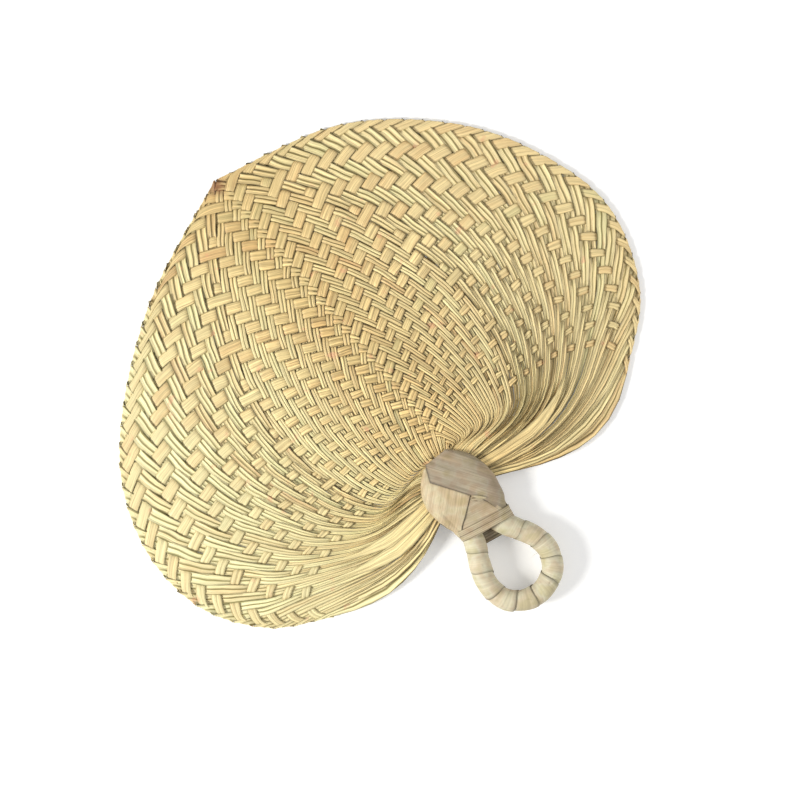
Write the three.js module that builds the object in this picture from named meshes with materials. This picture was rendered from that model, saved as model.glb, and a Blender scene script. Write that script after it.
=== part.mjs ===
// A palm leaf hand fan: a heart-shaped blade woven from flat leaf strips, gathered at the neck,
// and a wrapped ring for a handle. All lengths are in millimetres and +Z is up.
// The fan lies face up. The origin is the middle of the neck, on the surface that the fan lies on,
// the tip of the blade points along +Y and the ring along -Y.
import * as THREE from 'three';

// The blade
const bladeLength = 186; // from the middle of the neck to the tip
const leftWidth = 144.5; // from the spine to the left rim, at its widest
const rightWidth = 136; // from the spine to the right rim, at its widest
const spineOffset = 10; // the spine runs this far to the right of the neck
const weaveEnd = 13; // the weave stops on the spine this far above the middle of the neck
const stripCount = 16; // strips folded over each side of the rim
const leafThickness = 0.3;
const weaveLift = 0.7; // how far a strip rises above, or sinks below, the middle of the cloth
const rimHeight = 1.5; // the middle of the cloth above the surface, at the rim
const neckHeight = 8; // the middle of the cloth and of the handle above the surface, at the neck

// The neck, where the strip ends are gathered
const throatRadius = 11.5; // the strip ends stop on this circle
const coreThickness = 6;
const clearance = 0.3; // between pieces that touch on the real fan

// The collar of broad leaf over the neck
const collarTop = 13.4; // above the middle of the neck
const collarBottom = 29.5; // below the middle of the neck
const collarSlantShare = 0.14; // its lower edge drops by this share of its way to the right
const collarHalfWidth = 17.6; // at its widest
const collarHalfDepth = 8.3; // from the middle plane to the outside, at its thickest
const collarWall = 0.9;
const collarOverlap = 0.5; // the leaf laid last stands this far proud of its neighbours
const stripSlot = 1.5; // half the gap between front and back leaves, where strips pass
const slotEnd = 14; // that gap closes about this far below the middle of the neck

// The ring
const handleLean = THREE.MathUtils.degToRad(3.6); // the ring hangs this far to the left
const ringHalfWidth = 16.9; // to the middle of its tube
const ringDepth = 69.2; // from the middle of the neck to the middle of its tube at the bottom
const ringCoreRadius = 3.2;
const ringWrapSeat = 0.4; // between the core and the wrap
const ringWrapThickness = 0.5;
const ringWrapTurns = 10;
const ringWrapStart = 21.5; // the wrap begins and ends this far below the middle of the neck
const ringWrapOverlap = 1.4; // each turn lies over the start of the next one by this much
const ringWrapRise = 0.95; // and stands this far above it

// The binding round the waist of the collar
const waistWrapStart = 21.4; // below the middle of the neck
const waistWrapWidth = 2.3;
const waistWrapPitch = 2.8;
const waistWrapTurns = 2;
const waistWrapThickness = 0.6;

// The hidden lashing that holds the ring's legs under the strip ends
const lashingTop = 14; // below the middle of the neck
const lashingWidth = 4.5;
const lashingThickness = 1.2;

// Outline of the rim from the tip to the end of the weave, as shares of a side's width and of the length
const leftRimShares = [[0, 1], [0.457, 0.863], [0.83, 0.645], [0.99, 0.425], [0.997, 0.2], [0.865, 0.027],
  [0.671, -0.065]];
const rightRimShares = [[0, 1], [0.456, 0.898], [0.772, 0.704], [0.941, 0.489], [1, 0.263], [0.882, 0.043],
  [0.647, -0.097]];

// Course of a strip between the spine and the rim
const spineRiseAtTip = THREE.MathUtils.degToRad(35); // above the horizontal, as it leaves the spine
const spineRiseAtNeck = THREE.MathUtils.degToRad(29);
const spinePullShare = 1.85; // how far it keeps that direction, as a share of the blade's length
const spinePullFadeShare = 0.97; // and that pull fades by this share on the way down to the neck
const rimAngleAtTip = THREE.MathUtils.degToRad(38); // its angle to the rim, where it folds over
const rimAngleAtNeck = THREE.MathUtils.degToRad(28);
const rimPullShare = 0.2; // how far before the rim it takes that direction
const spineCrowdingShare = 0.08; // strips lie this much closer on the spine near the neck
const spineCrowdingPower = 8;
// Strips that cross a rising one lie closer together near the spine than near the rim
const rimSpreadShare = 0.41;
const middleSpreadShare = 0.49;
const firstTailAngle = THREE.MathUtils.degToRad(3); // the strip ends fan into the neck between these angles
const lastTailAngle = THREE.MathUtils.degToRad(124);
const spineTurn = THREE.MathUtils.degToRad(27); // and the spine meets the neck this far to the right
const tailStartPullShare = 0.42;
const tailEndPullShare = 0.4;

// The weave, in strip spacings: a strip covers this much to each side of its middle line
const halfStripShare = 0.39;
const halfTailShare = 0.27; // and this much where it ends in the neck
const flatShare = 0.3; // it stays level this far to each side of a crossing
const halfCount = 0.5; // strips lie midway between whole counts
const tailLength = 1; // the unwoven end of a strip is one more step in this count
const tailSteps = 4; // stations along each unwoven end
const bowTolerance = 0.35; // a strip's stations lie close enough to follow its bends within this

// How finely curves are drawn
const curveDivisions = 400;
const curveTension = 0.5;
const ringSteps = 40;
const ringSegments = 5;
const discSegments = 24;
const collarColumns = 6;
const ringWrapSteps = 18; // in each turn
const ringWrapColumns = 3;
const waistWrapSteps = 28;
const lashingSteps = 24;
const gapSteps = 12;

// Half width and half depth of the collar from its top to its bottom, as shares of the largest
const collarWidthShares = [0.36, 0.66, 0.86, 0.96, 1, 0.99, 0.945, 0.885, 0.85, 0.85];
const collarDepthShares = [0.34, 0.62, 0.86, 0.98, 1, 1, 0.97, 0.86, 0.82, 0.81];
const collarSquareness = 2.6; // exponent of the collar's section: 2 is an ellipse
// The seams of its front: across in shares of its half width, down in shares of its height
const seamClearance = 0.5; // across, between two leaves of the front
const collarRowShares = [0, 0.05, 0.12, 0.186, 0.28, 0.38, 0.47, 0.56, 0.6, 0.65, 0.7075, 0.811, 0.86,
  0.917, 0.943, 1];
const longSeamShares = [[-0.3, 0], [-0.49, 0.186], [0.42, 0.7075], [0.6, 0.943], [0.64, 1]];
const shortSeamShares = [[0.17, 0.56], [-0.514, 0.811], [-0.72, 0.917], [-0.8, 1]];
// The left leaf starts and ends, and the cross leaf starts, at these shares of the collar's height
const leftLeafTopShare = 0.05;
const leftLeafBottomShare = 0.943;
const crossLeafTopShare = 0.6;
// The middle of the ring's tube from a leg's top to the bottom, in shares of its half width and depth
const ringShares = [[0.29, 0.166], [0.35, 0.29], [0.41, 0.39], [0.49, 0.455], [0.68, 0.54], [0.9, 0.65],
  [1, 0.775], [0.79, 0.917], [0.3, 0.992]];

const straw = ['#dccb92', '#d3bf83', '#e2d3a0', '#cfb97e', '#d8c896'];
const leafWrap = '#c9bda0';
const leafWrapDark = '#b9ab8c';

const up = new THREE.Vector3(0, 0, 1);

function leafMaterial(colour, roughness = 0.75) {
  return new THREE.MeshStandardMaterial({ color: colour, roughness, metalness: 0 });
}

// A band is a closed solid through a row of stations. Each station lists the points of its outer face,
// from one edge to the other, and the points of its inner face in the same order.
function band(stations, closed = false) {
  const across = stations[0].outer.length;
  const positions = [];
  const indices = [];
  for (const { outer, inner } of stations) {
    [...outer, ...inner].forEach((point) => positions.push(...point));
  }
  const outerAt = (i, j) => (i % stations.length) * across * 2 + j;
  const innerAt = (i, j) => outerAt(i, j) + across;
  const quad = (a, b, c, d) => indices.push(a, b, c, a, c, d);
  const end = closed ? stations.length : stations.length - 1;
  const side = across - 1;
  for (let i = 0; i < end; i += 1) {
    for (let j = 0; j < side; j += 1) {
      quad(outerAt(i, j), outerAt(i + 1, j), outerAt(i + 1, j + 1), outerAt(i, j + 1));
      quad(innerAt(i, j), innerAt(i, j + 1), innerAt(i + 1, j + 1), innerAt(i + 1, j));
    }
    quad(outerAt(i, 0), innerAt(i, 0), innerAt(i + 1, 0), outerAt(i + 1, 0));
    quad(outerAt(i, side), outerAt(i + 1, side), innerAt(i + 1, side), innerAt(i, side));
  }
  if (!closed) {
    for (let j = 0; j < side; j += 1) {
      quad(outerAt(0, j), outerAt(0, j + 1), innerAt(0, j + 1), innerAt(0, j));
      quad(outerAt(end, j), innerAt(end, j), innerAt(end, j + 1), outerAt(end, j + 1));
    }
  }
  const geometry = new THREE.BufferGeometry();
  geometry.setAttribute('position', new THREE.Float32BufferAttribute(positions, 3));
  geometry.setIndex(indices);
  return outwards(geometry);
}

// Turns a closed solid's faces outwards if its signed volume says that they point in
function outwards(geometry) {
  const p = geometry.getAttribute('position');
  const index = geometry.getIndex();
  const corner = (k) => new THREE.Vector3().fromBufferAttribute(p, index.getX(k));
  let volume = 0;
  for (let k = 0; k < index.count; k += 3) {
    volume += corner(k).dot(corner(k + 1).cross(corner(k + 2)));
  }
  if (volume < 0) {
    for (let k = 0; k < index.count; k += 3) {
      const first = index.getX(k);
      index.setX(k, index.getX(k + 1));
      index.setX(k + 1, first);
    }
  }
  geometry.computeVertexNormals();
  return geometry;
}

// The rim of one side, as a curve from the tip to the end of the weave
function rimCurve(shares, width, side) {
  const points = shares.map(([x, y]) => new THREE.Vector3(side * x * width, y * bladeLength, 0));
  return smoothCurve(points);
}

function smoothCurve(points) {
  const curve = new THREE.CatmullRomCurve3(points, false, 'catmullrom', curveTension);
  curve.arcLengthDivisions = curveDivisions;
  return curve;
}

const sides = {
  left: { sign: -1, rim: rimCurve(leftRimShares, leftWidth, -1), courses: new Map() },
  right: { sign: 1, rim: rimCurve(rightRimShares, rightWidth, 1), courses: new Map() },
};

// A point of the spine, from the tip at 0 to the end of the weave at 1
function spinePoint(share) {
  const down = (1 + spineCrowdingShare) * share - spineCrowdingShare * share ** spineCrowdingPower;
  return new THREE.Vector3(0, bladeLength - (bladeLength - weaveEnd) * down, 0);
}

// The strip that crosses the spine at one share of its way, from the spine out to the rim
function risingCourse(side, share) {
  if (!side.courses.has(share)) {
    const start = spinePoint(share);
    const end = side.rim.getPointAt(share);
    const rise = THREE.MathUtils.lerp(spineRiseAtTip, spineRiseAtNeck, share);
    const spinePull = bladeLength * spinePullShare * share * (1 - spinePullFadeShare * share);
    const leave = new THREE.Vector3(side.sign * Math.cos(rise), Math.sin(rise), 0);
    const rimAngle = side.sign * THREE.MathUtils.lerp(rimAngleAtTip, rimAngleAtNeck, share);
    const arrive = side.rim.getTangentAt(share).applyAxisAngle(up, rimAngle);
    const rimPull = bladeLength * rimPullShare * share;
    side.courses.set(share, new THREE.CubicBezierCurve3(
      start,
      start.clone().addScaledVector(leave, spinePull),
      end.clone().addScaledVector(arrive, -rimPull),
      end,
    ));
  }
  return side.courses.get(share);
}

// The cloth rises from the rim to the neck
function clothHeight(nearness) {
  return THREE.MathUtils.lerp(rimHeight, neckHeight, Math.sin(nearness * Math.PI / 2));
}

// A point of the woven cloth on one side. Falling strips run from the rim to the neck and are counted by
// falling, from -stripCount to stripCount; rising strips cross them and are counted by rising.
function wovenPoint(side, falling, rising) {
  const even = THREE.MathUtils.clamp((rising - falling) / (2 * rising), 0, 1);
  const spread = even * (1 - even) * (rimSpreadShare + middleSpreadShare * (even - 1 / 2));
  const point = risingCourse(side, rising / stripCount).getPointAt(even - spread);
  point.z = clothHeight((falling + rising) / (2 * stripCount));
  return point;
}

// A point of a strip's unwoven end, from the weave at 0 into the neck at 1
function tailPoint(side, falling, share) {
  const start = wovenPoint(side, falling, stripCount);
  const before = wovenPoint(side, falling, stripCount - flatShare);
  const turn = (stripCount - falling) / (2 * stripCount);
  const angle = THREE.MathUtils.lerp(firstTailAngle + side.sign * spineTurn, lastTailAngle, turn);
  const outward = new THREE.Vector3(side.sign * Math.sin(angle), Math.cos(angle), 0);
  const end = outward.clone().multiplyScalar(throatRadius);
  end.x -= spineOffset;
  end.z = neckHeight;
  const reach = end.distanceTo(start);
  const leave = start.clone().sub(before).normalize();
  return new THREE.CubicBezierCurve3(
    start,
    start.clone().addScaledVector(leave, reach * tailStartPullShare),
    end.clone().addScaledVector(outward, reach * tailEndPullShare),
    end,
  ).getPoint(share);
}

// A point of the cloth at strip counts u and v: strips of constant u fall on the left half
// and rise on the right half, and strips of constant v do the reverse.
function clothPoint(u, v) {
  const side = v >= u ? sides.left : sides.right;
  const falling = Math.min(u, v);
  const rising = Math.max(u, v);
  return rising > stripCount
    ? tailPoint(side, falling, (rising - stripCount) / tailLength)
    : wovenPoint(side, falling, rising);
}

// Whether a rising strip lies over a falling one: single steps along the spine, then steps of two, and
// the pattern runs back again beyond the first strip that falls from the rim
function risesOver(falling, rising, headStart) {
  const step = Math.round(rising + halfCount - Math.abs(falling + halfCount)) + headStart;
  return step < 2 ? step === 0 : Math.floor(step / 2) % 2 === 1;
}

// Whether the strip of constant v lies over the strip of constant u where they cross
function vLiesOver(u, v) {
  return v >= u ? risesOver(u, v, 0) : !risesOver(v, u, 1);
}

// The stations of one strip: from the neck, across the spine, round its fold on the rim and back to the
// neck. Order is its count from the tip, and swapped tells a strip folded on the right rim.
function stripStations(order, swapped) {
  const at = (a, b) => (swapped ? clothPoint(b, a) : clothPoint(a, b));
  const over = (a, b) => ((swapped ? !vLiesOver(b, a) : vLiesOver(a, b)) ? 1 : -1);
  const half = (count) => THREE.MathUtils.lerp(halfStripShare, halfTailShare,
    Math.max(0, (count - stripCount) / tailLength));
  const outEdges = (a) => [at(a, order - half(a)), at(a, order + half(a))];
  const backEdges = (b) => [at(-order + half(b), b), at(-order - half(b), b)];
  const neck = stripCount + tailLength;
  const lastCrossing = stripCount - halfCount;

  // out from the neck to the last crossing before the rim
  const out = [[neck, 0], [stripCount, over(lastCrossing, order)]];
  let a = lastCrossing;
  for (; a - 1 > -order; a -= 1) {
    if (over(a, order) !== over(a - 1, order)) {
      out.push([a - flatShare, over(a, order)], [a - 1 + flatShare, over(a - 1, order)]);
    }
  }
  out.push([a - flatShare, over(a, order)]);

  // the fold: onto the rim on one level, round it, and back on the other
  const onRim = (count) => at(-count, count);
  const [near, far] = [onRim(order - halfStripShare), onRim(order + halfStripShare)];
  const foldLevel = over(-order, order);
  const outward = near.clone().sub(far).cross(up).setLength(weaveLift);
  outward.multiplyScalar(swapped ? 1 : -1);
  const fold = [
    { edges: [near, far], level: foldLevel },
    { edges: [near.clone().add(outward), far.clone().add(outward)], level: 0 },
    { edges: [near, far], level: -foldLevel },
  ];

  // back from the first crossing after the rim to the neck
  const back = [];
  const backLevel = (b) => (b > lastCrossing ? -foldLevel : -over(-order, b));
  back.push([Math.min(order + 1 - flatShare, stripCount), backLevel(order + 1)]);
  for (let b = order + 1; b < lastCrossing; b += 1) {
    if (backLevel(b) !== backLevel(b + 1)) {
      back.push([b + flatShare, backLevel(b)], [b + 1 - flatShare, backLevel(b + 1)]);
    }
  }
  back.push([stripCount, backLevel(Math.max(lastCrossing, order))], [neck, 0]);
  return [...smoothRun(out, outEdges), ...fold, ...smoothRun(back, backEdges)];
}

function middleOf(edges) {
  return edges[0].clone().add(edges[1]).multiplyScalar(0.5);
}

// Stations along a run of a strip, given as counts and levels, with more of them where it bends
function smoothRun(run, edgesAt) {
  const stations = [{ edges: edgesAt(run[0][0]), level: run[0][1] }];
  for (let i = 1; i < run.length; i += 1) {
    const [[fromCount, fromLevel], [toCount, toLevel]] = [run[i - 1], run[i]];
    if (fromCount !== toCount) {
      const chord = middleOf([middleOf(edgesAt(fromCount)), middleOf(edgesAt(toCount))]);
      const bow = chord.distanceTo(middleOf(edgesAt((fromCount + toCount) / 2)));
      const isTail = Math.max(fromCount, toCount) > stripCount;
      const steps = isTail ? tailSteps : Math.max(1, Math.ceil(Math.sqrt(bow / bowTolerance)));
      for (let k = 1; k <= steps; k += 1) {
        stations.push({
          edges: edgesAt(THREE.MathUtils.lerp(fromCount, toCount, k / steps)),
          level: THREE.MathUtils.lerp(fromLevel, toLevel, k / steps),
        });
      }
    }
  }
  return stations;
}

// A strip as a flat ribbon through its stations
function strip(order, swapped) {
  const stations = stripStations(order, swapped).map(({ edges, level }) => edges.map((edge) => {
    const point = edge.clone();
    point.z += level * weaveLift;
    return point;
  }));
  const middle = (i) => stations[i][0].clone().add(stations[i][1]).multiplyScalar(0.5);
  return band(stations.map((edges, i) => {
    const along = middle(Math.min(i + 1, stations.length - 1)).sub(middle(Math.max(i - 1, 0)));
    const normal = edges[1].clone().sub(edges[0]).cross(along).setLength(leafThickness / 2);
    return {
      outer: edges.map((edge) => edge.clone().add(normal)),
      inner: edges.map((edge) => edge.clone().sub(normal)),
    };
  }));
}

const fan = new THREE.Group();
const blade = new THREE.Group();
blade.position.x = spineOffset;
fan.add(blade);

function addPiece(group, name, geometry, material) {
  const mesh = new THREE.Mesh(geometry, material);
  mesh.name = name;
  group.add(mesh);
  return mesh;
}

for (let k = 1; k <= stripCount; k += 1) {
  const count = String(k).padStart(2, '0');
  const [leftColour, rightColour] = [straw[k % straw.length], straw[(k * 2) % straw.length]];
  addPiece(blade, `left_strip_${count}`, strip(k - halfCount, false), leafMaterial(leftColour));
  addPiece(blade, `right_strip_${count}`, strip(k - halfCount, true), leafMaterial(rightColour));
}

// The handle stands in its own frame, with its origin in the middle of the neck and the ring along -Y
const handle = new THREE.Group();
handle.position.z = neckHeight;
handle.rotation.z = -handleLean;
fan.add(handle);

// The disc of gathered strip ends
function neckCore() {
  const radius = throatRadius - clearance;
  const half = coreThickness / 2;
  const profileShares = [[0, -1], [0.6, -1], [0.9, -0.75], [1, -0.4], [1, 0.4], [0.9, 0.75], [0.6, 1],
    [0, 1]];
  const profile = profileShares.map(([x, y]) => new THREE.Vector2(x * radius, y * half));
  return new THREE.LatheGeometry(profile, discSegments).rotateX(Math.PI / 2);
}
addPiece(handle, 'neck_core', neckCore(), leafMaterial(straw[3], 0.85));

// A value between the entries of an evenly spaced table
function tableAt(shares, share) {
  const place = THREE.MathUtils.clamp(share, 0, 1) * (shares.length - 1);
  const i = Math.min(Math.floor(place), shares.length - 2);
  return THREE.MathUtils.lerp(shares[i], shares[i + 1], place - i);
}

// How far across a seam lies at one height of the collar
function seamAt(seamShares, down) {
  const i = seamShares.findIndex((point, k) => k > 0 && down <= point[1]);
  const [from, to] = [seamShares[i - 1], seamShares[i]];
  const share = (down - from[1]) / (to[1] - from[1]);
  return collarHalfWidth * THREE.MathUtils.lerp(from[0], to[0], share);
}

const collarHeight = collarTop + collarBottom;
const collarHalfWidthAt = (down) => collarHalfWidth * tableAt(collarWidthShares, down);
const collarSlant = (down) => collarSlantShare * THREE.MathUtils.smoothstep(down, 0, 1);
const collarHalfDepthAt = (down) => collarHalfDepth * tableAt(collarDepthShares, down);
const slotShare = (collarTop + slotEnd) / collarHeight;
const slotFadeShare = 0.08;

// A point of the collar's front, at a share of its height and an angle across from -90 to 90 degrees.
// Depth is measured outwards from the inside of its wall.
function collarPoint(down, angle, depth) {
  const halfWidth = collarHalfWidthAt(down) - collarWall + depth;
  const halfDepth = collarHalfDepthAt(down) - collarWall + depth;
  const fade = THREE.MathUtils.smoothstep(down, slotShare - slotFadeShare, slotShare + slotFadeShare);
  const slot = THREE.MathUtils.lerp(stripSlot, clearance / 2, fade);
  const across = Math.sin(angle);
  const bulge = (1 - Math.abs(across) ** collarSquareness) ** (1 / collarSquareness);
  const z = slot + (halfDepth - slot) * bulge;
  return new THREE.Vector3(across * halfWidth, collarTop - down * collarHeight, z);
}

// A leaf of the collar between two seams, for the front, or turned round for the back.
// The back is cut flat where it would reach below the surface that the fan lies on.
function collarLeaf({ from, to, left, right, proud, back }) {
  const angleOf = (x, down) => Math.asin(THREE.MathUtils.clamp(x / collarHalfWidthAt(down), -1, 1));
  const placed = (point, down) => {
    if (back) point.set(-point.x, point.y, Math.max(-point.z, -neckHeight));
    point.y -= collarSlant(down) * point.x;
    return point;
  };
  const stations = [];
  for (const down of collarRowShares.filter((share) => share >= from && share <= to)) {
    const [start, end] = [angleOf(left(down), down), angleOf(right(down), down)];
    const fade = 1 - THREE.MathUtils.smoothstep(down, proudEndShare - slotFadeShare, proudEndShare);
    const row = (depth) => Array.from({ length: collarColumns + 1 }, (_, j) => (
      placed(collarPoint(down, THREE.MathUtils.lerp(start, end, j / collarColumns), depth), down)));
    stations.push({ outer: row(collarWall + proud * fade), inner: row(0) });
  }
  return band(stations);
}

const proudEndShare = (collarTop + waistWrapStart) / collarHeight - slotFadeShare / 2;
const edge = () => collarHalfWidth;
const longSeam = (down) => seamAt(longSeamShares, down);
const shortSeam = (down) => (down > shortSeamShares[0][1] ? seamAt(shortSeamShares, down) : edge());
const collarLeaves = {
  right_leaf: { from: 0, to: 1, left: longSeam, right: edge, proud: collarOverlap },
  left_leaf: {
    from: leftLeafTopShare,
    to: leftLeafBottomShare,
    left: (down) => -edge(down),
    right: (down) => Math.min(longSeam(down), shortSeam(down)) - seamClearance,
    proud: 0,
  },
  cross_leaf: {
    from: crossLeafTopShare,
    to: 1,
    left: (down) => shortSeam(down),
    right: (down) => longSeam(down) - seamClearance,
    proud: 0,
  },
};
for (const [name, leaf] of Object.entries(collarLeaves)) {
  addPiece(handle, `collar_front_${name}`, collarLeaf({ ...leaf, back: false }), leafMaterial(leafWrap));
  addPiece(handle, `collar_back_${name}`, collarLeaf({ ...leaf, back: true }), leafMaterial(leafWrapDark));
}

// The middle line of the ring's tube, from the top of the left leg to the top of the right one
function ringLine() {
  const half = ringShares.map(([across, down]) => [across * ringHalfWidth, -down * ringDepth]);
  const left = half.map(([x, y]) => new THREE.Vector3(-x, y, 0));
  const right = half.map(([x, y]) => new THREE.Vector3(x, y, 0)).reverse();
  const bottom = new THREE.Vector3(0, -ringDepth, 0);
  return smoothCurve([...left, bottom, ...right]);
}
const ringCurve = ringLine();
const ringLength = ringCurve.getLength();

const coreSection = new THREE.Shape().absarc(0, 0, ringCoreRadius, 0, 2 * Math.PI);
const ringCore = new THREE.ExtrudeGeometry(coreSection, {
  extrudePath: ringCurve, steps: ringSteps, curveSegments: ringSegments, bevelEnabled: false,
});
addPiece(handle, 'ring_core', ringCore, leafMaterial('#a88f5e', 0.8));

// The least distance between the turns of a winding. PointAt gives a point of it from its turn,
// its share across and whether it lies on the outer face.
function leastGap(pointAt, turns) {
  let least = Infinity;
  for (let i = 0; i < (turns - 1) * gapSteps; i += 1) {
    for (let j = 0; j <= gapSteps; j += 1) {
      for (let k = 0; k <= gapSteps; k += 1) {
        const [one, next] = [[i / gapSteps, j / gapSteps], [i / gapSteps + 1, k / gapSteps]];
        least = Math.min(least, pointAt(...one, false).distanceTo(pointAt(...next, true)),
          pointAt(...one, true).distanceTo(pointAt(...next, false)));
      }
    }
  }
  return least;
}

// A winding as one unbroken strip
function winding(pointAt, turns, stepsPerTurn, columns) {
  const stations = [];
  for (let i = 0; i <= Math.round(turns * stepsPerTurn); i += 1) {
    const face = (outer) => Array.from({ length: columns + 1 }, (_, j) => (
      pointAt(i / stepsPerTurn, j / columns, outer)));
    stations.push({ outer: face(true), inner: face(false) });
  }
  return band(stations);
}

// The strip wound round the ring: each turn rises over the start of the next, as on a shingled roof
const ringWrapLead = ringWrapStart - ringShares[0][1] * ringDepth;
const ringWrapPitch = (ringLength - 2 * ringWrapLead - ringWrapOverlap) / (ringWrapTurns + 1);
const ringWrapWidth = ringWrapPitch + ringWrapOverlap;
function ringWrapPoint(turn, share, outer) {
  const along = (ringWrapLead + ringWrapPitch * turn + ringWrapWidth * share) / ringLength;
  const tangent = ringCurve.getTangentAt(along);
  const aside = tangent.clone().cross(up);
  const radius = ringCoreRadius + ringWrapSeat + ringWrapRise * share * ringWrapWidth / ringWrapPitch
    + (outer ? ringWrapThickness : 0);
  const angle = 2 * Math.PI * turn;
  return ringCurve.getPointAt(along)
    .addScaledVector(aside, radius * Math.cos(angle))
    .addScaledVector(up, radius * Math.sin(angle));
}
const ringWrap = winding(ringWrapPoint, ringWrapTurns, ringWrapSteps, ringWrapColumns);
addPiece(handle, 'ring_wrap', ringWrap, leafMaterial(leafWrap));
console.log(`ring_wrap: least gap to itself ${leastGap(ringWrapPoint, ringWrapTurns).toFixed(2)} mm`);

// The strip wound round the waist of the collar
function waistWrapPoint(turn, share, outer) {
  const angle = 2 * Math.PI * turn;
  const below = waistWrapStart + waistWrapPitch * turn + waistWrapWidth * share;
  const down = (collarTop + below) / collarHeight;
  const stand = clearance + (outer ? waistWrapThickness : 0);
  const round = (value) => Math.sign(value) * Math.abs(value) ** (2 / collarSquareness);
  const x = (collarHalfWidthAt(down) + stand) * round(Math.cos(angle));
  const z = (collarHalfDepthAt(down) + stand) * round(Math.sin(angle));
  return new THREE.Vector3(x, -below - collarSlant(down) * x, z);
}
const waistWrap = winding(waistWrapPoint, waistWrapTurns, waistWrapSteps, 1);
addPiece(handle, 'waist_wrap', waistWrap, leafMaterial(leafWrapDark));
console.log(`waist_wrap: least gap to itself ${leastGap(waistWrapPoint, waistWrapTurns).toFixed(2)} mm`);

// The lashing inside the collar, an oval band round both legs of the ring
function lashing() {
  const legs = ringHalfWidth * ringShares[1][0];
  const stations = [];
  for (let i = 0; i < lashingSteps; i += 1) {
    const angle = 2 * Math.PI * i / lashingSteps;
    const point = (radius, y) => new THREE.Vector3(
      Math.cos(angle) * radius + Math.sign(Math.cos(angle)) * legs, y, Math.sin(angle) * radius);
    const inside = ringCoreRadius + clearance;
    const face = (radius) => [point(radius, -lashingTop), point(radius, -lashingTop - lashingWidth)];
    stations.push({ outer: face(inside + lashingThickness), inner: face(inside) });
  }
  return band(stations, true);
}
addPiece(handle, 'neck_lashing', lashing(), leafMaterial('#8d7747', 0.9));

export default fan;
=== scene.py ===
# %% [markdown]
# # A palm leaf hand fan
# The real fan is woven from flat strips of dried palm leaf. Every strip starts at the neck, runs up
# across the middle line of the blade, folds over at the rim and comes back to the neck. The neck is
# bound with broad leaf, and a loop of leaf ribs, wrapped with one long strip, is the finger ring.
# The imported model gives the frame: its solids say where every piece lies. This script dresses them.

# %% Load the frame
import bisect
import math
import random
from functools import partialmethod

import bmesh
import bpy
from mathutils import Matrix, Vector, noise


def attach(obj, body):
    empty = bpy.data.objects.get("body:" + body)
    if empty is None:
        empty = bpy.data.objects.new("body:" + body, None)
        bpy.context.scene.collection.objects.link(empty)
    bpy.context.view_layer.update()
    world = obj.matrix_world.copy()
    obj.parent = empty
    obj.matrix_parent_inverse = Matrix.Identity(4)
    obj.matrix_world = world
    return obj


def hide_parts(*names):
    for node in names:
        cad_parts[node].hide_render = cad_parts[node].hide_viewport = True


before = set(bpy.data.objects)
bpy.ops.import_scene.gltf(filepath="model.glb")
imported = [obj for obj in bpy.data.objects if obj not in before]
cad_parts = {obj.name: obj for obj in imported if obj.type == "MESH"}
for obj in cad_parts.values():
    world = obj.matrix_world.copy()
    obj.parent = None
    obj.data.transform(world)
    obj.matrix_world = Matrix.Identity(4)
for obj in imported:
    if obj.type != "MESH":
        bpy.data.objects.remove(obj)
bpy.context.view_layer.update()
mm = 0.001


# %% [markdown]
# ## Camera, floor and light
# The photograph looks straight down on the face of the fan, which is turned by 41 degrees in the
# picture. A long lens from 0.9 m keeps the outline free of perspective. The floor is white to the
# camera and still takes the fan's shadow: it is an ordinary diffuse floor, and the camera's rays, also
# after a mirror or through glass, see a little extra light on it that lights nothing else.

# %% Camera
TURN = math.radians(-41.3)  # how far the picture is turned against the fan
AIM = Vector((7.05, 45.8, 5)) * mm
DISTANCE = 0.9
FRAME_WIDTH = 0.3902  # what the picture shows from side to side
SENSOR_WIDTH = 36  # mm, as for the lens


def add_object(name, data):
    made = bpy.data.objects.new(name, data)
    bpy.context.scene.collection.objects.link(made)
    return made


camera = add_object("camera", bpy.data.cameras.new("camera"))
camera.location = AIM + Vector((0, 0, DISTANCE))
camera.rotation_euler = (0, 0, TURN)
camera.data.sensor_width = SENSOR_WIDTH
camera.data.lens = SENSOR_WIDTH * DISTANCE / FRAME_WIDTH
bpy.context.scene.camera = camera
bpy.context.scene.view_settings.view_transform = "Standard"
print("lens in mm:", round(camera.data.lens, 1))


# %% [markdown]
# Small helpers for node trees come next. Every tree here is built from calls of two functions. Both
# make a node, set it up and wire its inputs. One returns the node and the other one of its outputs, as
# a wire. A sum or a product of wires makes a math node, so that a tree reads like a formula.

# %% Node helpers
class Wire:
    """An output of a node, which can be added, multiplied and so on."""

    def __init__(self, tree, socket):
        self.tree = tree
        self.socket = socket

    def math(self, operation, *others):
        return wire(self.tree, "ShaderNodeMath", dict(enumerate((self, *others))), operation=operation)

    def fit(self, low, high, from_low=0.0, from_high=1.0):
        """Carries a number over from one range to another and keeps it inside."""
        return wire(self.tree, "ShaderNodeMapRange", {
            "Value": self, "From Min": from_low, "From Max": from_high, "To Min": low, "To Max": high})

    __add__ = partialmethod(math, "ADD")
    __sub__ = partialmethod(math, "SUBTRACT")
    __mul__ = partialmethod(math, "MULTIPLY")
    __truediv__ = partialmethod(math, "DIVIDE")
    __pow__ = partialmethod(math, "POWER")


def step(tree, kind, inputs=None, **settings):
    """Adds a node. Inputs are given by name or number, each as a value or a wire."""
    made = tree.nodes.new(kind)
    for name, value in settings.items():
        setattr(made, name, value)
    for key, value in (inputs or {}).items():
        if isinstance(value, Wire):
            tree.links.new(value.socket, made.inputs[key])
        else:
            made.inputs[key].default_value = value
    return made


def wire(tree, kind, inputs=None, output=0, **settings):
    """Adds a node and returns one of its outputs."""
    return Wire(tree, step(tree, kind, inputs, **settings).outputs[output])


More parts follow.
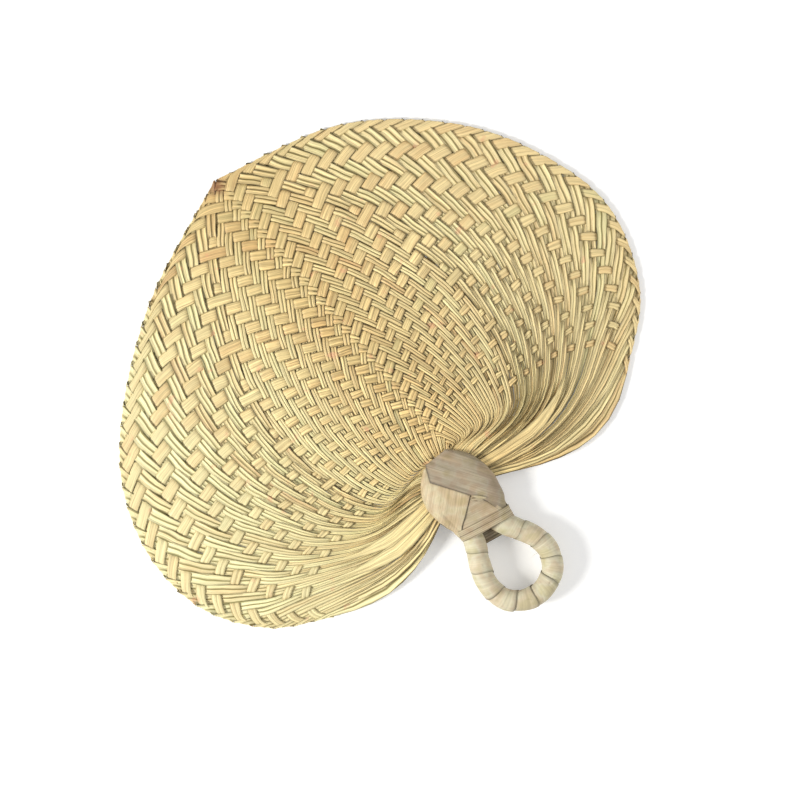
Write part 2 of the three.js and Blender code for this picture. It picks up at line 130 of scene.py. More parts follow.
def split(vector):
    """The three numbers of a vector."""
    parts = step(vector.tree, "ShaderNodeSeparateXYZ", {0: vector}).outputs
    return [Wire(vector.tree, part) for part in parts]


def empty_material(name):
    material = bpy.data.materials.new(name)
    material.use_nodes = True
    material.node_tree.nodes.clear()
    return material, material.node_tree


def colour(text):
    """A colour written as six hex digits, turned into the linear values that shaders use."""
    parts = [int(text[i:i + 2], 16) / 255 for i in (0, 2, 4)]
    return [p / 12.92 if p <= 0.04045 else ((p + 0.055) / 1.055) ** 2.4 for p in parts] + [1.0]


# %% Floor, lamps and world
FLOOR_SIZE = 1.8  # the lamps light this much of it evenly
FLOOR_DROP = 0.4 * mm  # it lies this far below the fan
FLOOR_GLOW = 0.22
WORLD_LIGHT = 0.44


def seen_directly(tree):
    """One for rays that show the background: the camera's, and those that a mirror or glass sends on."""
    path = step(tree, "ShaderNodeLightPath").outputs
    looks = Wire(tree, path["Is Camera Ray"])
    for ray in ("Is Glossy Ray", "Is Transmission Ray"):
        looks = looks.math("MAXIMUM", Wire(tree, path[ray]))
    return looks


def floor_material():
    material, tree = empty_material("floor_white")
    paint = wire(tree, "ShaderNodeBsdfDiffuse", {"Color": (0.86, 0.86, 0.86, 1)})
    glow = wire(tree, "ShaderNodeEmission", {"Strength": seen_directly(tree) * FLOOR_GLOW})
    both = wire(tree, "ShaderNodeAddShader", {0: paint, 1: glow})
    step(tree, "ShaderNodeOutputMaterial", {"Surface": both})
    return material


bpy.ops.mesh.primitive_plane_add(size=FLOOR_SIZE, location=(0, 0, 0))
floor = bpy.context.active_object
floor.name = "floor"
floor.data.transform(Matrix.Translation((0, 0, -FLOOR_DROP)))
floor.data.materials.append(floor_material())


def lamp(name, place, size, watts, tint):
    light = bpy.data.lights.new(name, "AREA")
    light.shape = "DISK"
    light.size = size
    light.energy = watts
    light.color = tint
    item = add_object(name, light)
    item.location = place
    item.rotation_euler = (-Vector(place)).to_track_quat("-Z", "Y").to_euler()


lamp("key", (-0.95, 0.45, 0.75), 0.4, 17.5, (1.0, 0.99, 0.96))
lamp("fill", (0.9, -0.5, 0.8), 1.0, 7.0, (1.0, 0.99, 0.97))
world = bpy.data.worlds.new("studio")
world.use_nodes = True
sky = world.node_tree.nodes["Background"]
sky.inputs["Color"].default_value = (1, 1, 1, 1)
strength = seen_directly(world.node_tree).fit(WORLD_LIGHT, 1.0)
world.node_tree.links.new(strength.socket, sky.inputs["Strength"])
bpy.context.scene.world = world
print("lamps:", [light.name for light in bpy.data.lights])


# %% [markdown]
# ## The map of the weave
# All strips follow one map. Two counts, u and v, name a point of the cloth. Strips of constant u and
# strips of constant v cross everywhere, and the spine is where u equals v. On each side one family
# rises from the spine to the rim, and the other falls from the rim to the neck. The strips leave the
# spine and fold over at the rim at even distances. A rising strip's course is a Bezier curve from
# the one to the other, and the falling strips cross it closer together near the spine than near the
# rim. This is the same map as the solids', with 30 strips on each side in place of 16.

# %% Sizes of the blade
STRIPS = 30
BLADE_LENGTH = 186 * mm
LEFT_WIDTH = 144.5 * mm
RIGHT_WIDTH = 136 * mm
WEAVE_END = 13 * mm  # above the middle of the neck, on the spine
SPINE_X = 10 * mm  # to the right of the middle of the neck
RIM_HEIGHT = 1.5 * mm  # of the middle of the cloth over the floor
NECK_HEIGHT = 8 * mm
LEFT_RIM = [(0, 1), (-0.457, 0.863), (-0.83, 0.645), (-0.99, 0.425), (-0.997, 0.2), (-0.865, 0.027),
            (-0.671, -0.065)]
RIGHT_RIM = [(0, 1), (0.456, 0.898), (0.772, 0.704), (0.941, 0.489), (1, 0.263), (0.882, 0.043),
             (0.647, -0.097)]


# %% The rim
def shares(steps):
    """Even shares from 0 to 1."""
    return [i / steps for i in range(steps + 1)]


class Line:
    """A line through many places, which is asked for a place by its share of the whole length."""

    def __init__(self, places):
        self.places = places
        self.lengths = [0.0]
        for a, b in zip(places, places[1:]):
            self.lengths.append(self.lengths[-1] + (b - a).length)

    def at(self, share):
        wanted = min(max(share, 0), 1) * self.lengths[-1]
        i = min(bisect.bisect_right(self.lengths, wanted), len(self.lengths) - 1)
        part = (wanted - self.lengths[i - 1]) / (self.lengths[i] - self.lengths[i - 1])
        return self.places[i - 1].lerp(self.places[i], part)


def between(a, b, c, d, t):
    """A smooth step from b to c, which also looks at the neighbours a and d."""
    bend = (2 * a - 5 * b + 4 * c - d) * t ** 2 + (3 * b - a - 3 * c + d) * t ** 3
    return 0.5 * (2 * b + (c - a) * t + bend)


def smooth_line(points, pieces=120):
    points = [2 * points[0] - points[1]] + points + [2 * points[-1] - points[-2]]
    places = []
    for a, b, c, d in zip(points, points[1:], points[2:], points[3:]):
        places += [between(a, b, c, d, share) for share in shares(pieces)[:-1]]
    return Line(places + [points[-2]])


class Side:
    """One half of the blade: its rim is a smooth curve through the rim's points."""

    def __init__(self, shares, width, sign):
        self.rim = smooth_line([Vector((x * width, y * BLADE_LENGTH, 0)) for x, y in shares])
        self.sign = sign
        self.courses = {}


LEFT = Side(LEFT_RIM, LEFT_WIDTH, -1)
RIGHT = Side(RIGHT_RIM, RIGHT_WIDTH, 1)
print("rim lengths in mm:", [round(side.rim.lengths[-1] / mm) for side in (LEFT, RIGHT)])


# %% Points of the cloth
UP = Vector((0, 0, 1))
SPINE_CROWDING = 0.08  # the last strips above the neck leave the spine closer together
SPINE_RISE = (35, 29)  # degrees above level, as a strip leaves the spine at the tip and the neck
SPINE_PULL = 1.85  # how strongly a strip keeps that direction, growing with the distance from the tip
SPINE_PULL_FADE = 0.97  # and fading by this share on the way down to the neck
RIM_ANGLE = (38, 28)  # degrees to the rim, where a strip folds over at the tip and the neck
RIM_PULL = 0.2  # how strongly it keeps the direction in which it meets the rim
CROWDING = 0.41  # falling strips cross a rising one closer together near the spine
CROWDING_GROWTH = 0.49  # and more so on its outer half
THROAT = 11.5 * mm  # the unwoven ends stop on this circle in the neck
SPINE_TURN = 27  # degrees: the spine meets the neck this far to the right of its middle
TAIL_FAN = (3, 124)  # degrees: the first unwoven end is this far from there, and the last from straight up
TAIL_LEAVE = 0.42  # an unwoven end keeps its first direction over this share of its way
TAIL_ARRIVE = 0.4  # and its last one over this share


def mix(a, b, share):
    return a + (b - a) * share


def soft(value):
    value = min(max(value, 0), 1)
    return value * value * (3 - 2 * value)


def bezier(a, b, c, d, t):
    s = 1 - t
    return a * s ** 3 + b * (3 * s * s * t) + c * (3 * s * t * t) + d * t ** 3


def spine_point(share):
    down = share + SPINE_CROWDING * (share - share ** 8)
    return Vector((0, BLADE_LENGTH - (BLADE_LENGTH - WEAVE_END) * down, 0))


def rising_course(side, rising):
    """The way of a rising strip from the spine to the rim, worked out once for each count."""
    key = round(rising, 4)
    if key not in side.courses:
        share = rising / STRIPS
        start, end = spine_point(share), side.rim.at(share)
        angle = math.radians(mix(*SPINE_RISE, share))
        leave = Vector((side.sign * math.cos(angle), math.sin(angle), 0))
        leave *= BLADE_LENGTH * SPINE_PULL * share * (1 - SPINE_PULL_FADE * share)
        along = (side.rim.at(share + 0.002) - side.rim.at(share - 0.002)).normalized()
        turn = Matrix.Rotation(side.sign * math.radians(mix(*RIM_ANGLE, share)), 3, "Z")
        arrive = turn @ along * BLADE_LENGTH * RIM_PULL * share
        side.courses[key] = Line([bezier(start, start + leave, end - arrive, end, t) for t in shares(40)])
    return side.courses[key]


def woven_point(side, falling, rising):
    out = (rising - falling) / (2 * rising)
    out -= out * (1 - out) * (CROWDING + CROWDING_GROWTH * (out - 0.5))
    point = rising_course(side, rising).at(out)
    nearness = (falling + rising) / (2 * STRIPS)
    point.z = mix(RIM_HEIGHT, NECK_HEIGHT, math.sin(nearness * math.pi / 2))
    return point


def tail_point(side, falling, share):
    """A point of a strip's unwoven end, from the weave at 0 into the neck at 1."""
    start = woven_point(side, falling, STRIPS)
    before = woven_point(side, falling, STRIPS - 0.3)
    first, last = TAIL_FAN
    angle = math.radians(mix(first + side.sign * SPINE_TURN, last, (STRIPS - falling) / (2 * STRIPS)))
    outward = Vector((side.sign * math.sin(angle), math.cos(angle), 0))
    end = outward * THROAT + Vector((-SPINE_X, 0, NECK_HEIGHT))
    reach = (end - start).length
    leave = (start - before).normalized()
    return bezier(start, start + leave * reach * TAIL_LEAVE, end + outward * reach * TAIL_ARRIVE, end, share)


def cloth_point(u, v):
    side = LEFT if v >= u else RIGHT
    falling, rising = min(u, v), max(u, v)
    if rising > STRIPS:
        return tail_point(side, falling, rising - STRIPS)
    return woven_point(side, falling, rising)


# %% [markdown]
# ## Over and under
# Along the spine the strips cross one by one. Everywhere else the weave is a twill of two over and
# two under, which is turned round at the first strip that folds at the rim. So each half shows a
# herringbone of its own: its blocks stand in columns near the spine, and step away from the spine
# nearer the rim. Just above the neck the strands hide the blocks. The rising strips are wide and
# smooth, and show as blocks. The falling strips are pleated, because they narrow towards the neck,
# and show as ridged lines between the blocks. The right half is the mirror image of the left with
# the two families exchanged.

# %% Twill
HIDDEN_ROWS = 2  # above the neck, the last rising strips lie below all others
HIDDEN_TO = 0.25  # from the spine to where the falling count is this share of the rising one


def rises_over(falling, rising, head_start=0):
    if rising > STRIPS - HIDDEN_ROWS and falling > HIDDEN_TO * rising:
        return False
    count = round(rising + 0.5 - abs(falling + 0.5)) + head_start
    return count == 0 if count < 2 else count // 2 % 2 == 1


def v_lies_over(u, v):
    return rises_over(u, v) if v >= u else not rises_over(v, u, 1)


# %% [markdown]
# ## Each strip's course
# A strip is told as a row of stations from one end to the other. A station has its place, half its
# width as a vector across, the direction in which its upper face looks, and how strongly the leaf is
# pleated there. At the rim the strip turns over, so the face that looked up comes to look down.
# No two strips are alike: chance gives each its own sway, width and level, most of all near the neck,
# where the leaf is pulled together. The first helper gives a strip's height over a crossing, and the
# second says where it needs stations.

# %% Levels and counts
LEVEL_SHARE = 0.24  # a strip keeps its level over this share of a crossing, on either side
TAIL_STATIONS = 9  # stations of an unwoven end


def level_along(level_at, count):
    """The level at a count: it stays the same over a crossing and changes softly before the next."""
    before, after = level_at(math.floor(count - 0.5) + 0.5), level_at(math.ceil(count + 0.5) - 0.5)
    share = (count + 0.5) % 1
    return mix(before, after, soft((share - LEVEL_SHARE) / (1 - 2 * LEVEL_SHARE)))


def station_counts(level_at, start, end):
    """Counts from start to end, with more of them where the strip changes level or is unwoven."""
    direction = 1 if end > start else -1
    counts = [start]
    count = start
    while (end - count) * direction > 1e-6:
        pace = 1
        if count >= STRIPS or count + direction > STRIPS:
            pace = 1 / TAIL_STATIONS
        elif level_at(count) != level_at(count + direction):
            counts += [count + direction * share for share in (LEVEL_SHARE, 0.5, 1 - LEVEL_SHARE)]
        else:
            counts.append(count + direction * 0.5)
        count += direction * pace
        counts.append(min(count, end) if direction > 0 else max(count, end))
    return counts


# %% Stations of one half of a strip
LIFT = 0.55 * mm  # a strip lies this far above or below the middle of the cloth
HALF_STRIP = 0.49  # half the width that is free for a strip, in strip spacings
WIDEST_HALF = 3.9 * mm  # and no more of it is used than this
STRAND_SHARE = 1.02  # a falling strip has this share of that width
STRAND_EXTRA = (0.15, 0.4)  # and by chance this much more, in the weave and near the neck
BLOCK_SHARE = 0.98  # a rising strip has this share of it
LOW_BLOCK_SHARE = {False: 0.58, True: 0.44}  # but near the neck this share, left and right
SWAY = 0.2  # a strip sways by up to this share of the free width
SPREAD = (0.7, 1.75)  # an unwoven end spreads by a factor from this range
LEAST_SPREAD = 1.12  # but at least by this one
TAIL_LEVEL = 1.8  # the more it spreads the higher it lies, up to this many lifts from the middle
FLAT_TAILS = {False: (18.5, 23.5), True: (16.5,)}  # on each side these strips end flat and wide
FLAT_HALF = 3.8 * mm  # half their width
FLAT_LEVEL = 2.6  # they lie on top


def half_stations(order, swapped, luck, edges, level_at, start, end, facing):
    """Stations from one count to another. On its way out, facing up, a strip rises beyond the spine."""
    flat = facing < 0 and order in FLAT_TAILS[swapped]
    spread = luck.uniform(*SPREAD)
    spread_share = (spread - SPREAD[0]) / (SPREAD[1] - SPREAD[0])
    tail_level = FLAT_LEVEL
    if not flat:
        tail_level = mix(-TAIL_LEVEL, TAIL_LEVEL, spread_share) + luck.uniform(-0.4, 0.4)
    tail_sway = luck.uniform(-1.0, 1.0) * mm
    own_level = luck.uniform(-0.5, 0.5)
    wobble = luck.uniform(0, 100)
    stations = []
    for count in station_counts(level_at, start, end):
        low, high = edges(count)
        across = (high - low) / 2
        free = across.length
        width = min(free, WIDEST_HALF)
        level = level_along(level_at, count)
        sway, thin = (noise.noise(Vector((count * pace, wobble, 0))) for pace in (0.45, 0.6))
        sway *= SWAY * free
        rising = min(1, max(0, (order - count) / (2 * order))) if facing > 0 else 0.0
        if rising == 0:
            pleat = 1.0
            gathered = soft((count / STRIPS - 0.55) / 0.35)
            width *= STRAND_SHARE + mix(*STRAND_EXTRA, gathered) * abs(thin)
            level += own_level * gathered
        else:
            lower = soft((order / STRIPS - 0.48) / 0.42) * soft(rising / 0.14)
            pleat = mix(mix(0.65, 0.2, min(1, rising * 2)), 0.6, lower)
            width *= mix(BLOCK_SHARE + 0.05 * thin, LOW_BLOCK_SHARE[swapped] + 0.16 * thin, lower)
            sway *= lower
        tail = count - STRIPS
        if tail > 0:
            level = mix(level, tail_level, soft(tail / 0.4))
            pleat = mix(pleat, 0.45 if flat else 1.0, soft(tail / 0.3))
            width = free * mix(1.05, max(spread, LEAST_SPREAD), soft(tail / 0.3))
            width = max(width, spread * 1.1 * mm * soft(tail / 0.9))
            if flat:
                end_share = 1 - 0.35 * soft((tail - 0.6) / 0.4)
                width = max(width, FLAT_HALF * soft(tail / 0.55) * end_share)
            sway += tail_sway * math.sin(math.pi * tail) * min(1, free / (2.5 * mm))
        across.normalize()
        place = (low + high) / 2 + across * sway + UP * level * LIFT
        stations.append([place, across * width, facing, pleat])
    return stations


# %% Stations of one strip
FOLD_GAP = 0.4  # strip spacings from the end of each half to the middle of the fold
FOLD_STEPS = 6


def strip_stations(order, swapped, luck):
    def at(a, b):
        return cloth_point(b, a) if swapped else cloth_point(a, b)

    def over(a, b):
        above = (not v_lies_over(b, a)) if swapped else v_lies_over(a, b)
        return 1 if above else -1

    neck = STRIPS + 1
    last = STRIPS - 0.5

    def out_level(a):
        if a > last:
            return 0.5 * over(last, order)
        return over(a, order) if a > -order else over(1 - order, order)

    def back_level(b):
        if b > last:
            return -0.5 * over(-order, min(last, max(order, b)))
        return -over(-order, b) if b > order else -over(-order, order)

    def out_edges(a):
        return at(a, order - HALF_STRIP), at(a, order + HALF_STRIP)

    def back_edges(b):
        return at(-order + HALF_STRIP, b), at(-order - HALF_STRIP, b)

    out = half_stations(order, swapped, luck, out_edges, out_level, neck, FOLD_GAP - order, 1)

    near, far = (at(-(order + share), order + share) for share in (-HALF_STRIP, HALF_STRIP))
    fold_level = over(-order, order)
    outward = (near - far).cross(UP).normalized() * (1 if swapped else -1)
    fold = []
    for share in shares(FOLD_STEPS):
        angle = math.pi * share
        above, outside = UP * math.cos(angle), outward * math.sin(angle)
        place = (near + far) / 2 + outside * LIFT * 0.8 + above * fold_level * LIFT
        fold.append([place, (far - near) / 2, above + outside * fold_level, mix(0.2, 0.8, share)])
    back = half_stations(order, swapped, luck, back_edges, back_level, order + FOLD_GAP, neck, -1)
    stations = out + fold + back

    # the face looks square to the strip and its course, but keeps its turn at the fold
    finished = []
    for i, (place, across, facing, pleat) in enumerate(stations):
        if not isinstance(facing, Vector):
            along = (stations[min(i + 1, len(stations) - 1)][0] - stations[max(i - 1, 0)][0]).normalized()
            across = across - along * across.dot(along)
            normal = across.cross(along).normalized()
            facing = normal * (facing if normal.z > 0 else -facing)
        finished.append((place + Vector((SPINE_X, 0, 0)), -across if swapped else across, facing, pleat))
    return finished


# %% [markdown]
# ## From a course to a leaf
# A strip of palm leaf isn't flat: it keeps a few lengthwise ridges from the leaf's pleats.
# One Geometry Nodes tree makes every strip of the fan. It turns each row of stations into a curve,
# sweeps a profile along it, and then moves every point to its own place, which it finds from the
# station's width and facing. The same tree makes the blade, the ring's wrap and the binding, so
# the sizes of the ridges, the crown and the thickness are its inputs. Where a pleated strip gets
# very narrow, its ridges melt into one rounded strand.

# %% The strip tree
def tree_inputs(tree, sockets):
    for name, kind, value in sockets:
        made = tree.interface.new_socket(name=name, in_out="INPUT", socket_type=f"NodeSocket{kind}")
        if value is not None:
            made.default_value = value
    tree.interface.new_socket(name="Geometry", in_out="OUTPUT", socket_type="NodeSocketGeometry")
    outputs = step(tree, "NodeGroupInput").outputs
    return {name: Wire(tree, outputs[name]) for name, kind, value in sockets}


def named(tree, name, data_type="FLOAT"):
    return wire(tree, "GeometryNodeInputNamedAttribute", {"Name": name}, "Attribute", data_type=data_type)


def captured(tree, geometry, **items):
    """Keeps values on the points of a geometry. Returns the geometry and then each value."""
    node = step(tree, "GeometryNodeCaptureAttribute", {"Geometry": geometry}, domain="POINT")
    for name, (kind, value) in items.items():
        node.capture_items.new(kind, name)
        tree.links.new(value.socket, node.inputs[name])
    return [Wire(tree, node.outputs[name]) for name in ("Geometry", *items)]


def noise_at(tree, x, y, z, detail=1.0):
    """Noise over three numbers, each of which moves by one from spot to spot."""
    place = wire(tree, "ShaderNodeCombineXYZ", {0: x, 1: y, 2: z})
    return wire(tree, "ShaderNodeTexNoise", {"Vector": place, "Scale": 1.0, "Detail": detail})


def leaf_strip_tree():
    tree = bpy.data.node_groups.new("leaf_strips", "GeometryNodeTree")
    given = tree_inputs(tree, [
        ("Geometry", "Geometry", None), ("Ridges", "Float", 3.0), ("Ridge Height", "Float", 0.0001),
        ("Crown", "Float", 0.0002), ("Thickness", "Float", 0.0002), ("Columns", "Int", 6),
        ("Wrinkle", "Float", 0.0), ("Wrinkles Along", "Float", 100.0), ("Drift", "Float", 0.0),
        ("Round Below", "Float", 0.0), ("Material", "Material", None)])
    curve, place, length = captured(
        tree, wire(tree, "GeometryNodeMeshToCurve", {"Mesh": given["Geometry"]}, "Curve"),
        place=("VECTOR", wire(tree, "GeometryNodeInputPosition")),
        length=("FLOAT", wire(tree, "GeometryNodeSplineParameter", output="Length")))

    # the profile runs across the top of the leaf and back across its underside
    points = given["Columns"] + 1.0
    ring = wire(tree, "GeometryNodeCurvePrimitiveCircle", {"Resolution": points * 2.0}, mode="RADIUS")
    index = wire(tree, "GeometryNodeInputIndex")
    is_top = index.math("LESS_THAN", points)
    walk = wire(tree, "GeometryNodeSwitch", {
        "Switch": is_top, "True": index, "False": points * 2.0 - 1.0 - index}, input_type="FLOAT")
    profile, share, top = captured(
        tree, ring, share=("FLOAT", walk / given["Columns"]), top=("FLOAT", is_top))
    geometry = wire(tree, "GeometryNodeCurveToMesh", {
        "Curve": curve, "Profile Curve": profile, "Fill Caps": True})

    # the ridges wander across the strip on their way, and their lane is the leaf's first coordinate
    across = share * 2.0 - 1.0
    strip = named(tree, "tone") * 57.0
    drift = noise_at(tree, 0.0, length * 70.0, strip + 5.0)
    lane = (drift - 0.5) * given["Drift"] + share
    ridge = (lane * given["Ridges"] * (2 * math.pi)).math("COSINE") * given["Ridge Height"]

    # a narrow pleated strip has lower ridges and a higher crown
    edge = named(tree, "across", "FLOAT_VECTOR")
    half = wire(tree, "ShaderNodeVectorMath", {0: edge}, "Value", operation="LENGTH")
    narrow = half.fit(0.0, 1.0, given["Round Below"], given["Round Below"] * 0.5)
    pleat = named(tree, "pleat")
    rounded = narrow * pleat.math("GREATER_THAN", 0.7)
    ridge *= pleat * (rounded * -0.6 + 1.0) * -0.5
    crown = across * across * given["Crown"] * (rounded * 1.2 + 1.0)
    wave = noise_at(tree, across, length * given["Wrinkles Along"], strip)
    rise = (top - 0.5) * given["Thickness"] + ridge - crown + (wave - 0.5) * given["Wrinkle"]

    for name, scale in (("across", across), ("bow", across * across), ("facing", rise)):
        way = wire(tree, "ShaderNodeVectorMath", {0: named(tree, name, "FLOAT_VECTOR"), "Scale": scale},
                   operation="SCALE")
        place = wire(tree, "ShaderNodeVectorMath", {0: place, 1: way}, operation="ADD")
    geometry = wire(tree, "GeometryNodeSetPosition", {"Geometry": geometry, "Position": place})
    leaf = wire(tree, "ShaderNodeCombineXYZ", {0: lane, 1: length, 2: across.math("ABSOLUTE")})
    for name, value, kind in (("leaf", leaf, "FLOAT_VECTOR"), ("round", rounded, "FLOAT")):
        geometry = wire(tree, "GeometryNodeStoreNamedAttribute", {
            "Geometry": geometry, "Name": name, "Value": value}, data_type=kind, domain="POINT")
    geometry = wire(tree, "GeometryNodeSetShadeSmooth", {"Geometry": geometry, "Shade Smooth": True})
    geometry = wire(tree, "GeometryNodeRealizeInstances", {"Geometry": geometry})
    geometry = wire(tree, "GeometryNodeSetMaterial", {"Geometry": geometry, "Material": given["Material"]})
    step(tree, "NodeGroupOutput", {"Geometry": geometry})
    return tree


leaf_strips = leaf_strip_tree()
print("nodes in the strip tree:", len(leaf_strips.nodes))


# %% Rows of stations as a mesh, and the tree's result as a plain mesh
def mark_points(mesh, **layers):
    """Stores a number or, where there are three times as many values, a vector on every point."""
    for name, values in layers.items():
        is_vector = len(values) == 3 * len(mesh.vertices)
        layer = mesh.attributes.new(name, "FLOAT_VECTOR" if is_vector else "FLOAT", "POINT")
        layer.data.foreach_set("vector" if is_vector else "value", values)


def bake(name, source, tree, values):
    """Runs a tree on an object and returns the result as a new plain mesh object at the origin."""
    modifier = source.modifiers.new("tree", "NODES")
    modifier.node_group = tree
    for item in tree.interface.items_tree:
        if item.item_type == "SOCKET" and item.in_out == "INPUT" and item.name in values:
            modifier[item.identifier] = values[item.name]
    bpy.context.view_layer.update()
    evaluated = source.evaluated_get(bpy.context.evaluated_depsgraph_get())
    mesh = bpy.data.meshes.new_from_object(evaluated)
    mesh.name = name
    bpy.data.objects.remove(source)
    print(name, "faces:", len(mesh.polygons))
    return add_object(name, mesh)


def leaf_piece(name, rows, material, tones, **sizes):
    """One mesh of leaf strips, one for each row of stations. Sizes are the tree's inputs."""
    places, edges, across, facing, bow, pleats, tone = [], [], [], [], [], [], []
    for row, shade in zip(rows, tones):
        first = len(places)
        for place, side, face, pleat, *bend in row:
            places.append(place)
            across.extend(side)
            facing.extend(face)
            bow.extend(bend[0] if bend else (0, 0, 0))
            pleats.append(pleat)
            tone.append(shade)
        edges.extend((i, i + 1) for i in range(first, len(places) - 1))
    mesh = bpy.data.meshes.new(name + "_course")
    mesh.from_pydata(places, edges, [])
    mark_points(mesh, across=across, facing=facing, bow=bow, pleat=pleats, tone=tone)
    values = {key.replace("_", " ").title(): value for key, value in sizes.items()}
    made = bake(name, add_object(name + "_course", mesh), leaf_strips, {**values, "Material": material})
    for extra in ("across", "facing", "bow"):
        if extra in made.data.attributes:
            made.data.attributes.remove(made.data.attributes[extra])
    return made


# %% [markdown]
# ## Dried palm leaf
# A ramp gives each strip its own tone, from pale green straw to light brown. Streaks and hairs run
# along the strip, because its colour comes from fibres. Shade is painted into the valleys between
# the pleats and along the strips' edges, and beside the collar's seams. All of these read the strip's
# own coordinates, so they turn with every strip. A bump carries the fibres that are too fine for the
# mesh. The handle's leaf has soft cloudy stains as well. The blade's finish does more, by the place on
# the blade: near the spine the painted shade in the valleys and at the edges is deeper, with a painted
# highlight between them, and the streaks show more strongly; just above the neck painted shade darkens
# the gaps between the crowded strands; the unwoven ends at the neck's sides get painted light and less
# painted shade at their edges; the hue changes from left to right, the tip is stained, and a few
# blotches are reddish.

# %% Parts of a material
NOISE_RANGE = (0.3, 0.7)  # noise hardly ever leaves this range


def ramp(factor, stops):
    made = step(factor.tree, "ShaderNodeValToRGB", {"Fac": factor})
    while len(made.color_ramp.elements) < len(stops):
        made.color_ramp.elements.new(0.5)
    for element, (place, tint) in zip(made.color_ramp.elements, stops):
        element.position = place
        element.color = colour(tint)
    return Wire(factor.tree, made.outputs["Color"])


def shaded(tint, by, share=1.0, how="MULTIPLY"):
    """A colour multiplied by a grey or by another colour, or mixed with it, as far as the share says."""
    return wire(tint.tree, "ShaderNodeMix", {0: share, 6: tint, 7: by}, 2, data_type="RGBA", blend_type=how)


def cloud(tree, scale, detail):
    """Noise that fills space, with this many spots in a metre."""
    place = wire(tree, "ShaderNodeTexCoord", None, "Object")
    return wire(tree, "ShaderNodeTexNoise", {"Vector": place, "Scale": scale, "Detail": detail})


def end_with_skin(tree, base, height, bump, depth, roughness, shine):
    """The last nodes of a material: one skin takes its colour and its relief."""
    relief = wire(tree, "ShaderNodeBump", {"Strength": bump, "Distance": depth, "Height": height})
    skin = wire(tree, "ShaderNodeBsdfPrincipled", {
        "Base Color": base, "Roughness": roughness, "Specular IOR Level": shine, "Normal": relief})
    step(tree, "ShaderNodeOutputMaterial", {"Surface": skin})


# %% Leaf material
TIP_STAIN = (SPINE_X - 1.5 * mm, BLADE_LENGTH - 2.5 * mm, 0)
LEFT_TO_RIGHT = [(0.0, "fbf9ed"), (0.35, "f3e9d4"), (0.55, "e6d4b8"), (0.7, "eadac1"), (0.86, "f3e7d2"),
                 (1.0, "fbf0de")]
BY_PLEAT = [(0.2, "ede6db"), (0.6, "f1ece1"), (0.95, "f9f8f2")]
BESIDE_NECK = (8 * mm, 20 * mm)  # below these heights the strips beside the neck are unwoven
TAILS_REACH = (30 * mm, 75 * mm)  # from the middle of the neck, as far as the unwoven ends go
CROWDED_REACH = (35 * mm, 60 * mm)  # and as far as the crowded strips above the neck go
SPINE_SHADE_REACH = (35 * mm, 85 * mm)  # from the spine, as far as painted shade and a painted highlight deepen the strips' relief
BUMP_DEPTH = 0.22 * mm
LEAF_SHINE = 0.35


